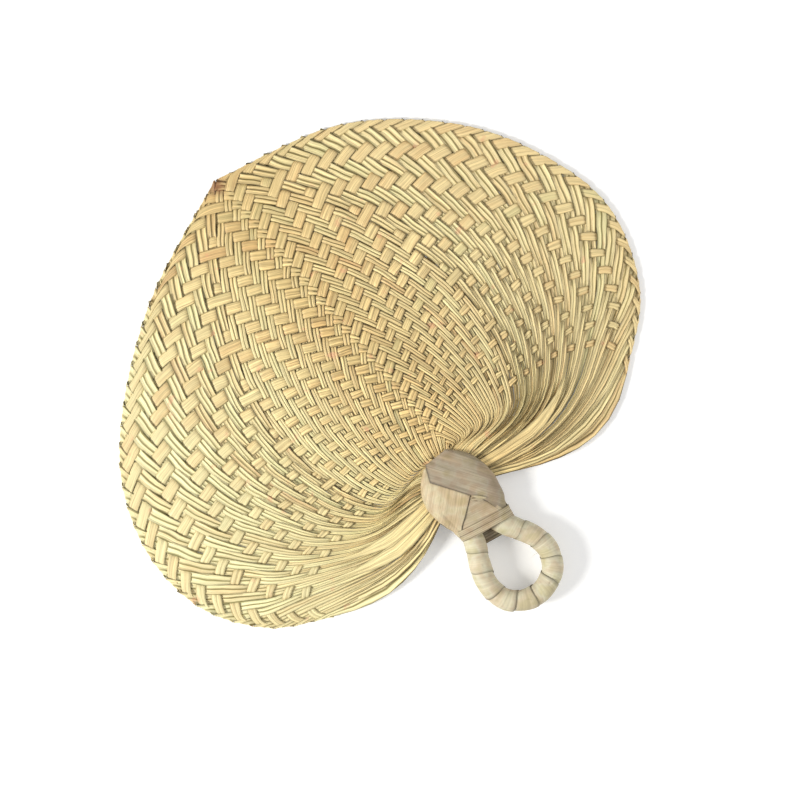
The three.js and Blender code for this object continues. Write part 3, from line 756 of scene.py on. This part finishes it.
def leaf_material(name, tones, edge, bump, grain, ridges=3.0, fibre=14.0, streak=45.0, roughness=0.5,
                  blade=False, stains=None):
    """Fibre and streak count the spots of the fine streaks, across a strip and in a metre of it.
    Edge is how dark the painted shade gets at a strip's edges, or beside a collar leaf's seams.
    """
    material, tree = empty_material(name)
    lane, along, aside = split(wire(tree, "ShaderNodeAttribute", None, "Vector", attribute_name="leaf"))
    tone, pleat, gathered = (wire(tree, "ShaderNodeAttribute", None, "Fac", attribute_name=word)
                             for word in ("tone", "pleat", "round"))

    def streaks(across, metre, detail, offset):
        """Noise that is drawn out along the strip, with these counts of spots across and in a metre."""
        return noise_at(tree, lane * across, along * metre, tone * 91.0 + offset, detail)

    broad = streaks(2.5, 45.0, 1.0, 0.0)
    fine = streaks(fibre, streak, 3.0, 7.0)
    hair = streaks(fibre * 2.6, streak * 0.8, 2.0, 17.0)
    base = ramp(tone + broad.fit(-0.16, 0.16, *NOISE_RANGE), tones)
    base = shaded(base, fine.fit(1 - 0.18 * grain, 1 + 0.16 * grain, *NOISE_RANGE))
    base = shaded(base, hair.fit(1 - 0.2 * grain, 1 + 0.12 * grain, *NOISE_RANGE))

    # painted shade in the valleys between the pleats, which wander a little, and at the strips' edges or
    # beside the collar's seams
    wander = lane + streaks(1.0, 60.0, 1.0, 29.0).fit(-0.05, 0.05, *NOISE_RANGE)
    valley = (wander * (ridges * math.pi)).math("COSINE").math("ABSOLUTE") ** 8.0
    valley *= pleat ** 2.0 * (gathered * -0.5 + 1.0)
    base = shaded(base, ramp(valley, [(0.0, "ffffff"), (1.0, "88835f")]))
    # rim marks where shade is painted: along a strip's edges, or beside the seams of a collar leaf
    rim = aside ** (gathered * -4.0 + 8.0)
    if blade:
        x, y, _ = split(wire(tree, "ShaderNodeTexCoord", None, "Object"))
        spot = wire(tree, "ShaderNodeCombineXYZ", {0: x, 1: y})
        from_neck = wire(tree, "ShaderNodeVectorMath", {0: spot}, "Value", operation="LENGTH")
        tails = from_neck.fit(1.0, 0.0, *TAILS_REACH) * y.fit(1.0, 0.0, *BESIDE_NECK)
        # the painted edge shade is weaker on the blocks, on the far left and on the unwoven ends, and
        # stronger on gathered strands
        rim *= pleat.fit(0.4, 0.7, 0.2, 0.9) * (gathered * 0.43 + 1.0)
        rim *= x.fit(0.68, 1.0, -85 * mm, -30 * mm) * (tails * -0.75 + 1.0)
        # painted light: the unwoven ends beside the neck are lightened a little, against the shade that
        # falls among them
        base = shaded(base, tails.fit(1.0, 1.07))
    # the painted shade at the edges goes on here
    base = shaded(base, rim.fit(1.0, edge))
    if blade:
        base = shaded(base, ramp(pleat, BY_PLEAT))
        from_spine = (x - SPINE_X).math("ABSOLUTE")
        spine_shade_and_streaks = from_spine.fit(1.0, 0.0, *SPINE_SHADE_REACH) * y.fit(1.0, 0.4, 90 * mm, 160 * mm)
        crowded = from_neck.fit(1.0, 0.0, *CROWDED_REACH) * y.fit(0.0, 1.0, *BESIDE_NECK)
        edges = aside ** 5.0
        # near the spine, painted shade deepens the valleys and edges and a painted highlight lifts the
        # crests and the strips' middles, while the streaks get more contrast
        base = shaded(base, valley.fit(1.08, 0.45), spine_shade_and_streaks)
        base = shaded(base, edges.fit(1.05, 0.55), spine_shade_and_streaks)
        base = shaded(base, fine.fit(0.7, 1.24, *NOISE_RANGE), spine_shade_and_streaks)
        # above the neck, painted shade darkens the gaps between the crowded strands and a painted highlight
        # lifts their middles; their broad streaks vary more
        base = shaded(base, edges.fit(1.12, 0.4), crowded)
        base = shaded(base, broad.fit(0.75, 1.22, *NOISE_RANGE), crowded)
        base = shaded(base, ramp(x.fit(0.0, 1.0, -90 * mm, 80 * mm), LEFT_TO_RIGHT))
        from_tip = wire(tree, "ShaderNodeVectorMath", {0: spot, 1: TIP_STAIN}, "Value", operation="DISTANCE")
        stained = (from_tip + fine.fit(-3 * mm, 3 * mm)).fit(0.8, 0.0, 1 * mm, 6 * mm)
        base = shaded(base, colour("7c4a30"), stained, "MIX")
        base = shaded(base, colour("dc9a78"), cloud(tree, 120.0, 2.0).fit(0.0, 0.45, 0.68, 0.75), "MIX")
    if stains:
        base = shaded(base, ramp(cloud(tree, 120.0, 3.0), stains))
    end_with_skin(tree, base, fine + hair * 0.6 - valley, bump, BUMP_DEPTH, roughness, LEAF_SHINE)
    return material


STRAW = [(0.0, "ebebc4"), (0.14, "fbf6cf"), (0.45, "faf0c8"), (0.7, "f3e2b8"), (0.88, "e8cfa8"),
         (1.0, "dcbd98")]
# edge sets the painted shade along the strips' edges
blade_finish = leaf_material("blade_leaf", STRAW, edge=0.3, bump=0.8, grain=1.3, ridges=2.0, blade=True)
print("nodes in the blade's finish:", len(blade_finish.node_tree.nodes))


# %% Weave the blade
TONES = [(0.87, 0.2, 0.6), (0.93, 0.02, 0.14), (1, 0.62, 0.74)]  # ordinary, pale and tan strips
PARTS = [("tip", slice(0, 18), range(1, 11)), ("neck", slice(18, STRIPS), range(11, 17))]


def chance_tone(luck):
    """Each line of the table gives the draws below which it counts, and the tones that it allows."""
    draw = luck.random()
    low, high = next(tones for limit, *tones in TONES if draw < limit)
    return luck.uniform(low, high)


luck = random.Random(7)
for word, swapped in (("left", False), ("right", True)):
    rows = [strip_stations(k + 0.5, swapped, luck) for k in range(STRIPS)]
    tones = [chance_tone(luck) for k in range(STRIPS)]
    for part, drawn, solids in PARTS:
        piece = leaf_piece(
            f"blade_{word}_{part}_strips", rows[drawn], blade_finish, tones[drawn], ridges=2.0,
            ridge_height=0.5 * mm, crown=0.3 * mm, thickness=0.16 * mm, columns=8, wrinkle=0.4 * mm,
            wrinkles_along=160.0, drift=0.5, round_below=2.1 * mm)
        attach(piece, "root")
        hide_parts(*[f"{word}_strip_{k:02d}" for k in solids])


# %% [markdown]
# ## The ring's wrap
# One long strip of leaf is wound round the ring. Each turn ends over the start of the next, and bulges
# a little between the two. The strip is 14 mm wide on a ring of only 17 mm, so it can't be straight
# from edge to edge. Each station therefore takes three places across the strip, and a third vector,
# the bow, bends the profile through the middle one. On the face the turns lie nearly square to the
# ring, and on the back they catch up.

# %% Frame of the handle
HANDLE = Matrix.Translation((0, 0, NECK_HEIGHT)) @ Matrix.Rotation(math.radians(-3.6), 4, "Z")
HANDLE_TURN = HANDLE.to_3x3()
RING_HALF_WIDTH = 16.9 * mm
RING_DEPTH = 69.2 * mm
RING_HALF = [(0.29, 0.166), (0.35, 0.29), (0.41, 0.39), (0.49, 0.455), (0.68, 0.54), (0.9, 0.65), (1, 0.775),
             (0.79, 0.917), (0.3, 0.992)]
LEG_SHIFT = 1.4 * mm  # the legs start this far to the left of the ring's middle


def in_handle(place, across, facing, pleat):
    """A station of the handle, which is given in the handle's frame."""
    return HANDLE @ place, HANDLE_TURN @ across, (HANDLE_TURN @ facing).normalized(), pleat


def ring_point(x, y):
    return Vector((x * RING_HALF_WIDTH - LEG_SHIFT * soft((0.75 - y) / 0.35), -y * RING_DEPTH, 0))


ring = smooth_line([ring_point(-x, y) for x, y in RING_HALF] + [ring_point(0, 1)]
                   + [ring_point(x, y) for x, y in RING_HALF[::-1]])
ring_length = ring.lengths[-1]
print("ring length in mm:", round(ring_length / mm, 1))


# %% Stations of a winding
RING_TURNS = 10
WRAP_START = 21.5 * mm  # below the middle of the neck
WRAP_LAP = 1.4 * mm  # each turn lies over the start of the next by this much
WRAP_RADIUS = 4.6 * mm  # from the ring's middle to the middle of the leaf where it starts
WRAP_RISE = 0.55 * mm  # and it ends this much further out
WRAP_BULGE = 0.25 * mm
CATCH_UP = 0.75  # how much faster the strip advances on the back than on average
UNEVEN = 0.16  # a turn strays by this share of the pitch
wrap_lead = WRAP_START - RING_HALF[0][1] * RING_DEPTH
wrap_pitch = (ring_length - 2 * wrap_lead - WRAP_LAP) / (RING_TURNS + 1)


def around(course, angle):
    """The direction away from a course in the ring's plane, at an angle round it."""
    return course.cross(UP) * math.cos(angle) + UP * math.sin(angle)


def ring_wrap_place(turn, share):
    along = turn + CATCH_UP / (2 * math.pi) * math.sin(2 * math.pi * (turn - 0.75)) + share
    along += UNEVEN * noise.noise(Vector(((turn + share) * 1.3, 4.7, 0))) * min(1, turn, RING_TURNS - turn)
    along = min(max(along, 0), RING_TURNS + 1)
    along = wrap_lead + wrap_pitch * along + WRAP_LAP * share
    course = (ring.at((along + mm) / ring_length) - ring.at((along - mm) / ring_length)).normalized()
    outward = around(course, 2 * math.pi * turn)
    radius = WRAP_RADIUS + WRAP_RISE * share + WRAP_BULGE * math.sin(math.pi * share)
    return ring.at(along / ring_length) + outward * radius, outward


def winding_row(place_at, turns, steps, pleat):
    """Stations of a strip wound round the handle, whose profile runs through three places at each."""
    row = []
    for i in range(turns * steps + 1):
        (left, _), (middle, outward), (right, _) = (place_at(i / steps, share) for share in (0, 0.5, 1))
        bow = HANDLE_TURN @ ((left + right) / 2 - middle)
        row.append((*in_handle(middle, (right - left) / 2, outward, pleat), bow))
    return row


# %% Wrap the ring
WRAP_TONES = [(0.0, "ccc7aa"), (0.35, "cbc3a8"), (0.6, "c1b599"), (1.0, "ac9b7b")]
STAINS = [(0.34, "f1eede"), (0.46, "ffffff"), (0.56, "f8eeea"), (0.68, "e9e1d2")]
# edge sets the painted shade along the wrap's edges, where the turns lap
wrap_finish = leaf_material("wrapped_leaf", WRAP_TONES, edge=0.4, bump=0.25, grain=0.5, fibre=9.0,
                            streak=30.0, roughness=0.55, stains=STAINS)
wrap_row = winding_row(ring_wrap_place, RING_TURNS, 36, 0.08)
ring_wrap = leaf_piece(
    "ring_wrap_strip", [wrap_row], wrap_finish, [0.3], ridges=6.0, ridge_height=0.05 * mm, crown=0.0,
    thickness=0.35 * mm, columns=24, wrinkle=0.35 * mm, wrinkles_along=110.0)
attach(ring_wrap, "root")
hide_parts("ring_wrap")


# %% [markdown]
# ## The collar
# Three broad leaves cover the neck on each face. The left one and the cross one lie under the right
# one, whose long edge runs down the face as a slanted seam. A leaf is a grid of points on the
# collar's rounded form, with rows down it and columns from one seam to the other. Each point is
# lifted off that form a little: more where a leaf lies on others, in a lip along its free edge, and
# by soft wrinkles that follow its fibres. The grid then gets a second face and closed sides.

# %% Collar form
COLLAR_TOP = 13.4 * mm
COLLAR_BOTTOM = 29.5 * mm
COLLAR_HEIGHT = COLLAR_TOP + COLLAR_BOTTOM
COLLAR_HALF_WIDTH = 17.6 * mm
COLLAR_HALF_DEPTH = 8.3 * mm
COLLAR_SLANT = 0.14
SQUARENESS = 2.6
STRIP_SLOT = 1.5 * mm  # half the gap at the sides, where the blade's strips pass
CLOSED_SLOT = 0.15 * mm  # and below the short seam
WIDTHS = [0.36, 0.66, 0.86, 0.96, 1, 0.99, 0.94, 0.86, 0.79, 0.75]
DEPTHS = [0.34, 0.62, 0.86, 0.98, 1, 1, 0.97, 0.86, 0.82, 0.81]
LONG_SEAM = [(-0.3, 0), (-0.49, 0.186), (0.42, 0.7075), (0.6, 0.943), (0.64, 1)]
SHORT_SEAM = [(0.17, 0.56), (-0.514, 0.811), (-0.72, 0.917), (-0.8, 1)]
SHORT_START = SHORT_SEAM[0][1]  # the short seam leaves the long one this share of the way down


def table_at(table, share):
    """A value between the entries of an evenly spaced table, on a smooth curve through them."""
    place = min(max(share, 0), 1) * (len(table) - 1)
    i = min(int(place), len(table) - 2)
    return between(*(table[min(max(k, 0), len(table) - 1)] for k in range(i - 1, i + 3)), place - i)


def half_width(down):
    return COLLAR_HALF_WIDTH * table_at(WIDTHS, down)


def half_depth(down):
    return COLLAR_HALF_DEPTH * table_at(DEPTHS, down)


def collar_place(x, down):
    """A place on the collar's front, in the handle's frame, before it is slanted."""
    across = min(max(x / half_width(down), -1), 1)
    slot = mix(STRIP_SLOT, CLOSED_SLOT, soft((down - SHORT_START) / 0.16))
    bulge = (1 - abs(across) ** SQUARENESS) ** (1 / SQUARENESS)
    return Vector((x, COLLAR_TOP - down * COLLAR_HEIGHT, mix(slot, half_depth(down), bulge)))


def seam_at(seam, down):
    for (x0, d0), (x1, d1) in zip(seam, seam[1:]):
        if down <= d1:
            return COLLAR_HALF_WIDTH * mix(x0, x1, (down - d0) / (d1 - d0))
    return COLLAR_HALF_WIDTH * seam[-1][0]


def long_seam(down):
    return seam_at(LONG_SEAM, down)


def short_seam(down):
    """Above its start the short seam is a metre away, out of reach of all that asks for it."""
    return seam_at(SHORT_SEAM, down) if down > SHORT_START else 1


print("the seams meet at x in mm:", round(long_seam(SHORT_START) / mm, 1))


# %% A leaf with two faces
def grid_piece(name, outer, inner, marks, material, tone, pleat):
    """A closed leaf from two grids of places. Marks gives each place's leaf coordinates, the last of which
    says how near a seam it lies, where the material paints shade.
    """
    rows, columns = len(outer), len(outer[0])
    count = rows * columns
    border = [(i, 0) for i in range(rows)] + [(rows - 1, j) for j in range(1, columns)]
    border += [(i, columns - 1) for i in range(rows - 2, -1, -1)]
    border += [(0, j) for j in range(columns - 2, 0, -1)]
    faces = []
    for i in range(rows - 1):
        for j in range(columns - 1):
            a = i * columns + j
            faces.append((a, a + columns, a + columns + 1, a + 1))
            faces.append((count + a, count + a + 1, count + a + columns + 1, count + a + columns))
    for (i, j), (k, m) in zip(border, border[1:] + border[:1]):
        a, b = i * columns + j, k * columns + m
        faces.append((a, count + a, count + b, b))
    mesh = bpy.data.meshes.new(name)
    mesh.from_pydata([place for row in outer + inner for place in row], [], faces)
    flat_marks = [value for row in marks for mark in row for value in mark]
    mark_points(mesh, leaf=flat_marks * 2, tone=[tone] * count * 2, pleat=[pleat] * count * 2)
    work = bmesh.new()
    work.from_mesh(mesh)
    bmesh.ops.recalc_face_normals(work, faces=work.faces)
    work.to_mesh(mesh)
    work.free()
    mesh.polygons.foreach_set("use_smooth", [True] * len(mesh.polygons))
    mesh.materials.append(material)
    print(name, "faces:", len(mesh.polygons))
    return add_object(name, mesh)


# %% Relief of a collar leaf
LEAF_THICKNESS = 0.4 * mm
TOP_LIFT = 0.75 * mm  # the right leaf lies this far above the collar's form
TUCK = 1.6 * mm  # a lower leaf reaches this far under the one that lies on it
LIP = 0.22 * mm  # how far a free edge stands up
CREASE = 0.2 * mm  # fine wrinkles rise and sink this far
SWELL = 0.42 * mm  # and broad ones this far


def bell(distance, reach):
    """One at a line, and nearly nothing at twice this reach from it."""
    return math.exp(-(distance / reach) ** 2)


def lengthwise_fold(x, down):
    """The left leaf's own fold, which stands up beside a shallow groove."""
    held = soft((down - 0.5) / 0.1) * (1 - soft((down - 0.88) / 0.06))
    beside = x + mix(14.6, 13.2, (down - 0.5) / 0.4) * mm
    return held * (0.5 * mm * bell(beside, 0.8 * mm) - 0.3 * mm * bell(beside - 1.5 * mm, 0.5 * mm))


def wrinkles(along, aside, seed):
    crease = noise.noise(Vector((aside / (1.7 * mm), along / (16 * mm), seed)))
    swell = noise.noise(Vector((aside / (7 * mm), along / (19 * mm), seed + 9)))
    return CREASE * crease + SWELL * swell


# %% Collar leaves
LEAF_ROWS = 110
LEAF_COLUMNS = 60


def collar_leaf(face, word, seed, start, end, left, right, lift, free, fibres, tone):
    """One leaf between two seams. Free names the side whose edge shows, L or R."""
    fibre_way = Vector((math.cos(math.radians(fibres)), math.sin(math.radians(fibres)), 0))
    places, marks, lifts = [], [], []
    for share in shares(LEAF_ROWS):
        down = mix(start, end, share)
        wide = half_width(down)
        angles = [math.asin(min(max(x / wide, -1), 1)) for x in (left(down), right(down))]
        row = [collar_place(math.sin(mix(*angles, part)) * wide, down) for part in shares(LEAF_COLUMNS)]
        walked = Line(row).lengths
        places.append(row)
        lifts.append([])
        marks.append([])
        for place, walk in zip(row, walked):
            edge = {"L": walk, "R": walked[-1] - walk}.get(free, 1)
            # the nearness to a seam marks where the material paints shade along it
            seam = min(abs(place.x - long_seam(down)) * (0.8 + 3 * soft((down - 0.68) / 0.1)),
                       abs(place.x - short_seam(down)) * 0.7)
            along, aside = place.dot(fibre_way), place.x * fibre_way.y - place.y * fibre_way.x
            high = lift * (1 - soft((down - 0.74) / 0.1)) + wrinkles(along, aside, seed)
            high += LIP * bell(edge, 0.9 * mm)
            if word == "left_leaf":
                high += lengthwise_fold(place.x, down)
            lifts[-1].append(high)
            marks[-1].append((aside / (14 * mm) + 0.5, along, bell(seam, 1.1 * mm)))
    outer, inner = [], []
    for i, row in enumerate(places):
        outer.append([])
        inner.append([])
        for j, place in enumerate(row):
            down_way = places[min(i + 1, LEAF_ROWS)][j] - places[max(i - 1, 0)][j]
            across_way = row[min(j + 1, LEAF_COLUMNS)] - row[max(j - 1, 0)]
            normal = across_way.cross(-down_way).normalized()
            for grid, high in ((outer, lifts[i][j]), (inner, lifts[i][j] - LEAF_THICKNESS)):
                moved = place + normal * high
                if face == "back":
                    lowest = 1.15 * (TOP_LIFT - lift) - NECK_HEIGHT
                    lowest += LEAF_THICKNESS if grid is inner else 0
                    moved = Vector((-moved.x, moved.y, max(-moved.z, lowest)))
                share = (COLLAR_TOP - moved.y) / COLLAR_HEIGHT
                moved.y -= COLLAR_SLANT * soft(share) * moved.x
                grid[-1].append(HANDLE @ moved)
    made = grid_piece(f"{face}_collar_{word}", outer, inner, marks, collar_finish, tone, 0.2)
    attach(made, "root")
    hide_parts(f"collar_{face}_{word}")


COLLAR_TONES = [(0.0, "c9bc9a"), (0.4, "b5a78b"), (0.7, "9f9480"), (1.0, "8b8069")]
# edge sets the painted shade beside the seams and along the edges of the binding and the slivers
collar_finish = leaf_material("collar_leaf", COLLAR_TONES, edge=0.3, bump=0.4, grain=0.8, fibre=22.0,
                              streak=60.0, roughness=0.55, stains=STAINS)

# start and end as shares of the way down, left and right edge, lift, free side, degrees of its fibres, tone
LEAVES = {
    "cross_leaf": (0.57, 1.0, lambda down: short_seam(down) - TUCK, lambda down: long_seam(down) + TUCK,
                   0.0, "", -6, 0.38),
    "left_leaf": (0.03, 0.99, lambda down: -COLLAR_HALF_WIDTH,
                  lambda down: min(long_seam(down) + TUCK, short_seam(down)), 0.35 * mm, "R", 46, 0.12),
    "right_leaf": (0.0, 1.0, long_seam, lambda down: COLLAR_HALF_WIDTH, TOP_LIFT, "L", -54, 0.66),
}
for face, seed in (("front", 3), ("back", 20)):
    for word, values in LEAVES.items():
        collar_leaf(face, word, seed, *values)
        seed += 1


# %% [markdown]
# ## The binding and the small things
# A narrow strip binds the collar's lower end. It is wound with the strip tree as well, round the
# collar's squarish section. Three slivers of leaf lie at the long seam, two strips tie the ring's
# legs together below the collar, and loose fibres stand off the ring.

# %% Binding
BINDING_TURNS = 2
BINDING_SLANT = 0.2
BINDING_START = 23.0 * mm  # below the middle of the neck
BINDING_PITCH = 2.7 * mm
BINDING_WIDTH = 2.8 * mm
BINDING_STAND = 0.5 * mm  # it stands this far off the collar's form
BINDING_RISE = 0.25 * mm  # and its lower edge this much further


def squared(value):
    """A sine or a cosine, changed so that a circle of both becomes the collar's section."""
    return math.copysign(abs(value) ** (2 / SQUARENESS), value)


def waist_place(turn, share):
    across, front = squared(math.cos(2 * math.pi * turn)), squared(math.sin(2 * math.pi * turn))
    below = BINDING_START + BINDING_PITCH * turn + BINDING_WIDTH * share
    down = min((COLLAR_TOP + below) / COLLAR_HEIGHT, 1)
    x = (half_width(down) + BINDING_STAND) * across
    z = (half_depth(down) + BINDING_STAND + BINDING_RISE * share) * front
    return Vector((x, -below - BINDING_SLANT * x, z)), Vector((across * 0.5, 0, front))


waist_row = winding_row(waist_place, BINDING_TURNS, 72, 0.6)
waist_wrap = leaf_piece(
    "waist_wrap_strip", [waist_row], collar_finish, [0.3], ridges=2.0, ridge_height=0.15 * mm,
    crown=0.12 * mm, thickness=0.4 * mm, columns=8, wrinkle=0.3 * mm, wrinkles_along=150.0)
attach(waist_wrap, "root")
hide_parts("waist_wrap")


# %% Slivers at the seam, and the ties between the ring's legs
# start and end in mm of the handle's frame, half the width and the height over the collar's form in mm
SLIVERS = [((3.0, -11.2), (8.3, -16.6), 0.75, 1.15), ((1.9, -12.6), (7.9, -16.4), 0.6, 0.95),
           ((3.2, -14.6), (8.2, -17.0), 0.5, 0.8)]
TIES = [((-10.5, -30.6, -1.5), (6.0, -33.0, -1.5), 1.9), ((-10.0, -32.6, -3.0), (6.5, -35.0, -2.6), 1.7)]


def on_collar(x, y, lift):
    """A place on the collar's front over x and y of the handle, and the way it faces."""
    down = (COLLAR_TOP - y) / COLLAR_HEIGHT
    for _ in range(4):
        down = (COLLAR_TOP - y - COLLAR_SLANT * soft(down) * x) / COLLAR_HEIGHT
    step_x, step_down = 0.2 * mm, 0.005
    facing = (collar_place(x + step_x, down) - collar_place(x - step_x, down)).cross(
        collar_place(x, down - step_down) - collar_place(x, down + step_down)).normalized()
    return Vector((x, y, collar_place(x, down).z)) + facing * lift, facing


def sliver_row(start, end, half, lift, steps=16):
    """A sliver that is widest in its middle and nearly pointed at its ends."""
    row = []
    start, end = Vector(start), Vector(end)
    way = (end - start).normalized().to_3d()
    for share in shares(steps):
        place, facing = on_collar(*start.lerp(end, share) * mm, lift * mm)
        width = half * mm * mix(0.15, 1, math.sin(math.pi * share) ** 0.6)
        row.append(in_handle(place, facing.cross(way).normalized() * width, facing, 0.5))
    return row


def tie_row(left, right, half, steps=12):
    """A strip that runs straight from one place of the handle to another, face up."""
    left, right = Vector(left) * mm, Vector(right) * mm
    side = UP.cross(right - left).normalized() * half * mm
    return [in_handle(left.lerp(right, share), side, UP, 0.8) for share in shares(steps)]


rows = [sliver_row(*sliver) for sliver in SLIVERS] + [tie_row(*tie) for tie in TIES]
small_leaves = leaf_piece(
    "collar_slivers", rows, collar_finish, [0.2, 0.3, 0.45, 0.8, 0.95], ridges=2.0,
    ridge_height=0.2 * mm, crown=0.15 * mm, thickness=0.25 * mm, columns=6)
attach(small_leaves, "root")


# %% Loose fibres
FIBRE_HALF = 0.07 * mm


def fibre_row(start, way, bend, length, steps=8):
    row = []
    for share in shares(steps):
        place = start + way * length * share + bend * length * share * share
        across = (way + bend * share * 2).cross(UP).normalized() * FIBRE_HALF * (1.2 - share)
        row.append(in_handle(place, across, UP, 0.0))
    return row


# the long one stands out into the ring, and short ones lie on its turns
fibre_luck = random.Random(23)
fibres = [fibre_row(Vector((12.4, -53.5, 2.0)) * mm, Vector((-0.95, 0.25, 0.1)), Vector((0, -0.2, 0)),
                    6.0 * mm)]
for share in (0.12, 0.21, 0.33, 0.47, 0.56, 0.68, 0.79, 0.9):
    course = (ring.at(share + 0.01) - ring.at(share - 0.01)).normalized()
    outward = around(course, math.radians(fibre_luck.uniform(50, 130)))
    way = course * fibre_luck.choice((-1, 1)) + course.cross(outward) * fibre_luck.uniform(-0.6, 0.6)
    way = (way + outward * 0.25).normalized()
    start = ring.at(share) + outward * (WRAP_RADIUS + WRAP_RISE)
    fibres.append(fibre_row(start, way, outward * -0.1, fibre_luck.uniform(2.0, 4.0) * mm))
loose_fibres = leaf_piece(
    "loose_fibres", fibres, wrap_finish, [0.4] * len(fibres), thickness=0.1 * mm, columns=2,
    ridge_height=0.0, crown=0.0)
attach(loose_fibres, "root")


# %% [markdown]
# ## What stays of the solids, and the end
# The ring's core, the gathered pad in the neck and the lashing keep their solids. They get the look of
# old leaf ribs, which shows only through gaps.

# %% Solids that stay
core_finish, core_tree = empty_material("leaf_core")
grain = cloud(core_tree, 900.0, 3.0)
core_colour = ramp(grain, [(0.3, "8a744c"), (0.7, "b8a274")])
end_with_skin(core_tree, core_colour, grain, bump=0.5, depth=0.2 * mm, roughness=0.7, shine=0.5)
for name in ("ring_core", "neck_core", "neck_lashing"):
    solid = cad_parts[name]
    for slot in solid.material_slots:
        slot.material = core_finish
    if not solid.material_slots:
        solid.data.materials.append(core_finish)
